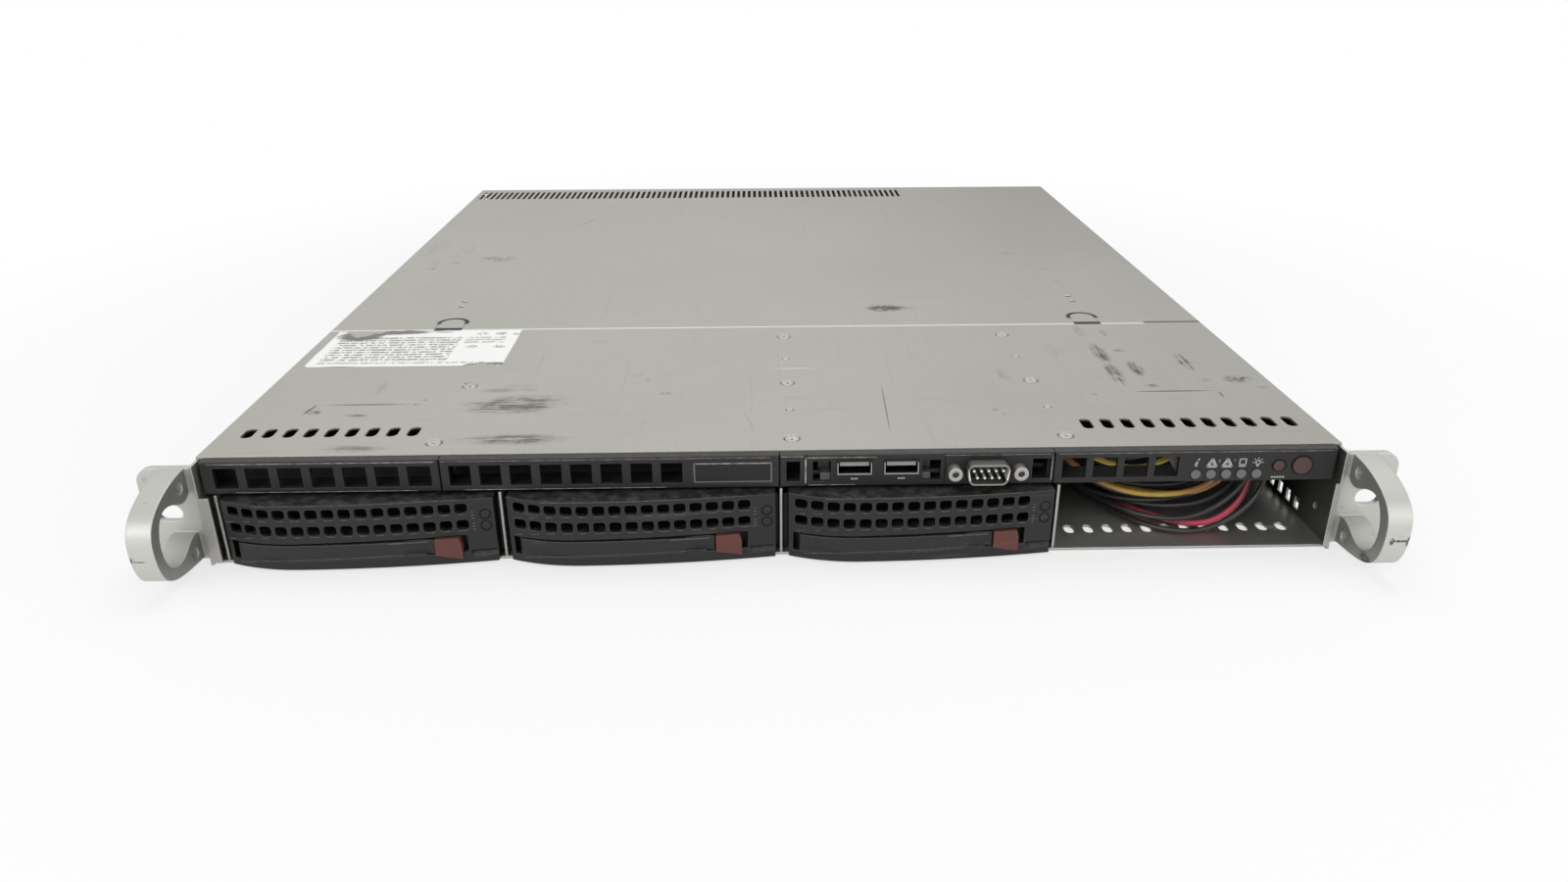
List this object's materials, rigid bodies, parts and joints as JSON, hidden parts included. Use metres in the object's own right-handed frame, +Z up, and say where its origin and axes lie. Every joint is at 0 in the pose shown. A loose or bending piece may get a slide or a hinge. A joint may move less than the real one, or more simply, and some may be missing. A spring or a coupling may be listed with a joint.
{
  "type": "rack server",
  "caption": "Flat steel rack-mount server with looped ears, hot-swap drive carriers, an empty bay with loose wires, front ports and keys, and a sliding lid.",
  "frame": {"origin": "middle of the underside, centred side to side and front to rear over the whole length from handles to rear panel", "axes": "+X to the server's right seen from its front, +Y to the rear, +Z up; the front faces -Y"},
  "size_m": [0.481, 0.5297, 0.0431],
  "materials": {
    "bare_steel": "satin",
    "lid_steel": "satin, scuffed",
    "supply_steel": "satin",
    "screw_steel": "satin",
    "brass_post": "satin",
    "label_paper": "matt, stained",
    "ear_metal": "cast, satin",
    "black_plastic": "satin",
    "lever_plastic": "satin",
    "badge_black": "glossy",
    "port_metal": "polished",
    "board_green": "satin",
    "board_black": "satin",
    "maroon_plastic": "satin",
    "connector_black": "satin",
    "fan_black": "satin",
    "fin_aluminium": "satin",
    "drive_casting": "satin",
    "wire_yellow": "satin",
    "wire_red": "satin",
    "wire_orange": "satin",
    "wire_black": "satin"
  },
  "bodies": {
    "chassis": {"ac_inlet": "connector_black", "backplane": "board_green", "badge_plate": "badge_black", "board_standoffs": "brass_post", "centre_grille": "black_plastic", "chassis_tray": "bare_steel", "control_bezel": "black_plastic", "control_board": "board_green", "drive_cage": "bare_steel", "ear_left": "ear_metal", "ear_right": "ear_metal", "ear_screws": "screw_steel", "fan_frames": "fan_black", "front_top_plate": "lid_steel", "heatsinks": "fin_aluminium", "io_bezel": "black_plastic", "io_board": "board_green", "jackscrews": "screw_steel", "label": "label_paper", "memory": "board_black", "motherboard": "board_green", "optical_bay_blank": "black_plastic", "plate_screws": "screw_steel", "psu_case": "supply_steel", "rear_panel": "bare_steel", "rear_ports": "port_metal", "serial_port": "port_metal", "slot_cover": "bare_steel", "usb_sockets": "port_metal", "wire_black_high": "wire_black", "wire_black_low": "wire_black", "wire_black_middle": "wire_black", "wire_black_top": "wire_black", "wire_orange": "wire_orange", "wire_plugs": "connector_black", "wire_red": "wire_red", "wire_yellow_high": "wire_yellow", "wire_yellow_low": "wire_yellow"},
    "lid": {"top_cover": "lid_steel"},
    "tab_left": {"release_tab_left": "lid_steel"},
    "tab_right": {"release_tab_right": "lid_steel"},
    "power_key": {"power_button": "maroon_plastic"},
    "reset_key": {"reset_button": "maroon_plastic"},
    "drive_tray_1": {"carrier_1": "black_plastic", "hard_drive_1": "drive_casting"},
    "lever_arm_1": {"lever_1": "lever_plastic"},
    "lever_release_1": {"release_1": "maroon_plastic"},
    "drive_tray_2": {"carrier_2": "black_plastic", "hard_drive_2": "drive_casting"},
    "lever_arm_2": {"lever_2": "lever_plastic"},
    "lever_release_2": {"release_2": "maroon_plastic"},
    "drive_tray_3": {"carrier_3": "black_plastic", "hard_drive_3": "drive_casting"},
    "lever_arm_3": {"lever_3": "lever_plastic"},
    "lever_release_3": {"release_3": "maroon_plastic"},
    "rotor_1": {"fan_rotor_1": "fan_black"},
    "rotor_2": {"fan_rotor_2": "fan_black"},
    "rotor_3": {"fan_rotor_3": "fan_black"},
    "rotor_4": {"fan_rotor_4": "fan_black"},
    "supply_rotor": {"psu_fan_rotor": "fan_black"}
  },
  "joints": [
    {"name": "cover_slide", "type": "slide", "parent": "chassis", "child": "lid", "axis": [0, 1, 0], "range_m": [0, 0.013]},
    {"name": "tab_left_press", "type": "slide", "parent": "lid", "child": "tab_left", "axis": [0, 0, -1], "range_m": [0, 0.0025], "stiffness_N_per_m": 800},
    {"name": "tab_right_press", "type": "slide", "parent": "lid", "child": "tab_right", "axis": [0, 0, -1], "range_m": [0, 0.0025], "stiffness_N_per_m": 800},
    {"name": "carrier_1_slide", "type": "slide", "parent": "chassis", "child": "drive_tray_1", "axis": [0, -1, 0], "range_m": [0, 0.19]},
    {"name": "lever_1_swing", "type": "hinge", "parent": "drive_tray_1", "child": "lever_arm_1", "pos_m": [-0.2038, -0.23674, 0.0085], "axis": [0, 0, -1], "range_deg": [0, 60]},
    {"name": "release_1_push", "type": "slide", "parent": "drive_tray_1", "child": "lever_release_1", "axis": [1, 0, 0], "range_m": [0, 0.0018], "stiffness_N_per_m": 600},
    {"name": "carrier_2_slide", "type": "slide", "parent": "chassis", "child": "drive_tray_2", "axis": [0, -1, 0], "range_m": [0, 0.19]},
    {"name": "lever_2_swing", "type": "hinge", "parent": "drive_tray_2", "child": "lever_arm_2", "pos_m": [-0.0966, -0.23674, 0.0085], "axis": [0, 0, -1], "range_deg": [0, 60]},
    {"name": "release_2_push", "type": "slide", "parent": "drive_tray_2", "child": "lever_release_2", "axis": [1, 0, 0], "range_m": [0, 0.0018], "stiffness_N_per_m": 600},
    {"name": "carrier_3_slide", "type": "slide", "parent": "chassis", "child": "drive_tray_3", "axis": [0, -1, 0], "range_m": [0, 0.19]},
    {"name": "lever_3_swing", "type": "hinge", "parent": "drive_tray_3", "child": "lever_arm_3", "pos_m": [0.0106, -0.23674, 0.0085], "axis": [0, 0, -1], "range_deg": [0, 60]},
    {"name": "release_3_push", "type": "slide", "parent": "drive_tray_3", "child": "lever_release_3", "axis": [1, 0, 0], "range_m": [0, 0.0018], "stiffness_N_per_m": 600},
    {"name": "power_press", "type": "slide", "parent": "chassis", "child": "power_key", "axis": [0, 1, 0], "range_m": [0, 0.0008], "stiffness_N_per_m": 900},
    {"name": "reset_press", "type": "slide", "parent": "chassis", "child": "reset_key", "axis": [0, 1, 0], "range_m": [0, 0.0008], "stiffness_N_per_m": 900},
    {"name": "fan_1_spin", "type": "hinge", "parent": "chassis", "child": "rotor_1", "pos_m": [-0.177, -0.0201, 0.0212], "axis": [0, 1, 0], "continuous": true},
    {"name": "fan_2_spin", "type": "hinge", "parent": "chassis", "child": "rotor_2", "pos_m": [-0.107, -0.0201, 0.0212], "axis": [0, 1, 0], "continuous": true},
    {"name": "fan_3_spin", "type": "hinge", "parent": "chassis", "child": "rotor_3", "pos_m": [-0.037, -0.0201, 0.0212], "axis": [0, 1, 0], "continuous": true},
    {"name": "fan_4_spin", "type": "hinge", "parent": "chassis", "child": "rotor_4", "pos_m": [0.033, -0.0201, 0.0212], "axis": [0, 1, 0], "continuous": true},
    {"name": "psu_fan_spin", "type": "hinge", "parent": "chassis", "child": "supply_rotor", "pos_m": [0.139, 0.2491, 0.0213], "axis": [0, 1, 0], "continuous": true}
  ]
}
